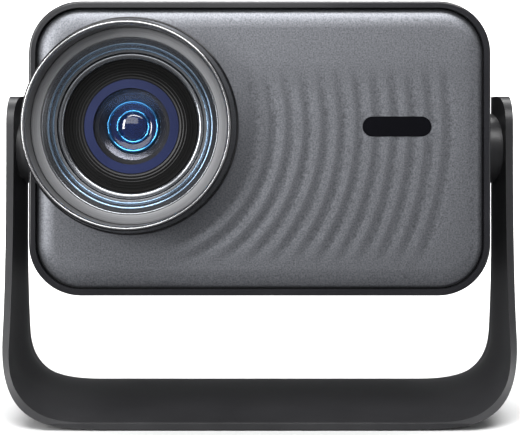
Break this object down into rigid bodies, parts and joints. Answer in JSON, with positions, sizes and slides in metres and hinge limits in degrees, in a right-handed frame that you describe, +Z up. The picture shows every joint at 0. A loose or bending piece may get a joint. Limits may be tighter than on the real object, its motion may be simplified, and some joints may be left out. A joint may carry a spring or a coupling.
{
  "type": "home projector",
  "caption": "Home video projector with a box-shaped head, deep round lens hood and rippled front, tilting between the arms of a U stand.",
  "frame": {"origin": "centre of the tripod thread's mouth on the foot's lower face, straight below the tilt axis", "axes": "+Z up, the lens looks along -Y, +X to the right of a person who faces the lens"},
  "size_m": [0.2282, 0.1437, 0.183],
  "materials": {
    "stand_black": "satin",
    "foot_rubber": "matte",
    "insert_brass": "satin",
    "steel": "satin",
    "sleeve_black": "gloss",
    "panel_grey": "sandblasted metallic",
    "cover_black": "fine texture",
    "screw_black": "black oxide",
    "hub_black": "satin",
    "bezel_gloss": "gloss",
    "ring_brushed": "turned",
    "lens_black": "satin",
    "window_gloss": "gloss",
    "board_green": "solder mask",
    "engine_black": "matte",
    "mirror": "polished",
    "panel_glass": "polished",
    "clear_plastic": "polished",
    "lens_glass": "coated",
    "lamp_white": "matte",
    "sink_aluminium": "extruded",
    "pipe_copper": "satin",
    "fan_black": "satin",
    "filter_grey": "mesh",
    "tray_metal": "zinc plated",
    "port_metal": "plated",
    "parts_dark": "satin",
    "inlet_black": "satin",
    "pin_brass": "nickel plated",
    "grille_black": "satin",
    "speaker_black": "satin",
    "barrel_black": "ridged, satin",
    "retainer_blue": "satin anodised",
    "gear_white": "matte",
    "button_black": "satin",
    "cone_grey": "paper cone"
  },
  "bodies": {
    "stand": {"stand_band": "stand_black", "foot_pad": "foot_rubber", "tripod_insert": "insert_brass", "hinge_shafts": "steel", "arm_caps": "stand_black", "arm_screws": "steel", "stop_pins": "steel", "friction_washers": "steel", "hinge_nuts": "steel"},
    "head": {"housing_shell": "sleeve_black", "front_panel": "panel_grey", "rear_cover": "cover_black", "case_screws": "screw_black", "hub_left": "hub_black", "hub_right": "hub_black", "hinge_brackets": "steel", "lens_bezel": "bezel_gloss", "lens_trim_ring": "ring_brushed", "lens_funnel": "lens_black", "lens_tube": "lens_black", "focus_motor": "steel", "sensor_window": "window_gloss", "sensor_board": "board_green", "engine_base": "engine_black", "engine_cover": "engine_black", "fold_mirror": "mirror", "lcd_panel": "panel_glass", "fresnel_lenses": "clear_plastic", "polariser": "panel_glass", "condenser_lens": "lens_glass", "led_module": "lamp_white", "heat_sink": "sink_aluminium", "heat_pipes": "pipe_copper", "exhaust_fan_frame": "fan_black", "blower_case": "fan_black", "dust_filter": "filter_grey", "chassis_tray": "tray_metal", "main_board": "board_green", "board_shield": "tray_metal", "ports": "port_metal", "power_board": "board_green", "power_parts": "parts_dark", "ac_inlet": "inlet_black", "inlet_pins": "pin_brass", "button_board": "board_green", "speaker_grilles": "grille_black", "speakers": "speaker_black"},
    "focus_barrel": {"lens_barrel": "barrel_black", "lens_front": "lens_glass", "lens_middle": "lens_glass", "lens_rear": "lens_glass", "lens_retainer": "retainer_blue"},
    "focus_drive": {"focus_pinion": "gear_white"},
    "exhaust_impeller": {"exhaust_fan_rotor": "fan_black"},
    "blower_impeller": {"blower_rotor": "fan_black"},
    "button": {"power_button": "button_black"},
    "cone_left": {"speaker_cone_left": "cone_grey"},
    "cone_right": {"speaker_cone_right": "cone_grey"}
  },
  "joints": [
    {"name": "body_tilt", "type": "hinge", "parent": "stand", "child": "head", "pos_m": [0, 0, 0.121], "axis": [-1, 0, 0], "range_deg": [-30, 100]},
    {"name": "lens_focus", "type": "slide", "parent": "head", "child": "focus_barrel", "axis": [0, -1, 0], "range_m": [-0.002, 0.002]},
    {"name": "focus_pinion_spin", "type": "hinge", "parent": "head", "child": "focus_drive", "pos_m": [-0.0545, -0.038, 0.16796], "axis": [-1, 0, 0], "range_deg": [-31, 31]},
    {"name": "exhaust_fan_spin", "type": "hinge", "parent": "head", "child": "exhaust_impeller", "pos_m": [0.057, 0.045, 0.1304], "axis": [0, 1, 0], "continuous": true},
    {"name": "blower_spin", "type": "hinge", "parent": "head", "child": "blower_impeller", "pos_m": [0.02546, -0.042, 0.1304], "axis": [0, 1, 0], "continuous": true},
    {"name": "power_press", "type": "slide", "parent": "head", "child": "button", "axis": [0, -1, 0], "range_m": [0, 0.0008], "stiffness_N_per_m": 1500},
    {"name": "cone_left_travel", "type": "slide", "parent": "head", "child": "cone_left", "axis": [-1, 0, 0], "range_m": [-0.0006, 0.0006], "stiffness_N_per_m": 900},
    {"name": "cone_right_travel", "type": "slide", "parent": "head", "child": "cone_right", "axis": [1, 0, 0], "range_m": [-0.0006, 0.0006], "stiffness_N_per_m": 900}
  ],
  "couplings": [
    {"joint": "focus_pinion_spin", "follows": "lens_focus", "rad_per_m": 250}
  ]
}
